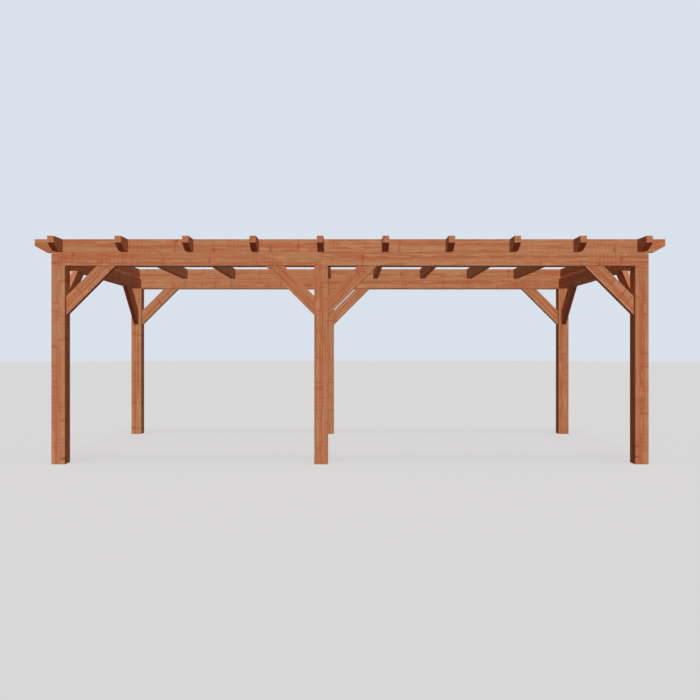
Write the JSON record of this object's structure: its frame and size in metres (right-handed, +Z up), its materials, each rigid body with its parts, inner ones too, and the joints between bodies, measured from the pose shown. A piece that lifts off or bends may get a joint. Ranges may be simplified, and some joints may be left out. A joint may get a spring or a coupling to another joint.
{
  "type": "timber pergola frame",
  "caption": "Open timber pergola: square posts carry a ring beam, rafters with bevelled tails and blocks between them, stiffened by diagonal knee braces.",
  "frame": {"origin": "on the ground, under the middle of the frame's plan: the centre of the overall box's bottom face", "axes": "+X along the length, to the right as seen from the front; +Y from the front row of posts to the back row; +Z up"},
  "size_m": [7, 3.5, 2.5],
  "materials": {
    "post_timber": "planed softwood with a matt red-brown stain; grain along each timber, small reddish knots, fainter rings on the sawn ends",
    "beam_timber": "planed softwood with a matt red-brown stain; grain along each timber, small reddish knots, fainter rings on the sawn ends",
    "rafter_timber": "planed softwood with a matt red-brown stain; grain along each timber, small reddish knots, fainter rings on the sawn ends",
    "brace_timber": "planed softwood with a matt red-brown stain; grain along each timber, small reddish knots, fainter rings on the sawn ends"
  },
  "bodies": {
    "root": {"post_front_left": "post_timber", "post_front_middle": "post_timber", "post_front_right": "post_timber", "post_back_left": "post_timber", "post_back_middle": "post_timber", "post_back_right": "post_timber", "beam_front_left": "beam_timber", "beam_front_right": "beam_timber", "beam_back_left": "beam_timber", "beam_back_right": "beam_timber", "beam_left_side": "beam_timber", "beam_right_side": "beam_timber", "rafter_1": "rafter_timber", "rafter_2": "rafter_timber", "rafter_3": "rafter_timber", "rafter_4": "rafter_timber", "rafter_5": "rafter_timber", "rafter_6": "rafter_timber", "rafter_7": "rafter_timber", "rafter_8": "rafter_timber", "rafter_9": "rafter_timber", "rafter_10": "rafter_timber", "blocks_front_left": "rafter_timber", "blocks_front_right": "rafter_timber", "blocks_back_left": "rafter_timber", "blocks_back_right": "rafter_timber", "end_block_front_left": "rafter_timber", "end_block_front_right": "rafter_timber", "end_block_back_left": "rafter_timber", "end_block_back_right": "rafter_timber", "brace_front_left": "brace_timber", "brace_front_middle_left": "brace_timber", "brace_front_middle_right": "brace_timber", "brace_front_right": "brace_timber", "brace_back_left": "brace_timber", "brace_back_middle_left": "brace_timber", "brace_back_middle_right": "brace_timber", "brace_back_right": "brace_timber", "brace_left_side_front": "brace_timber", "brace_left_side_back": "brace_timber", "brace_right_side_front": "brace_timber", "brace_right_side_back": "brace_timber"}
  },
  "joints": []
}
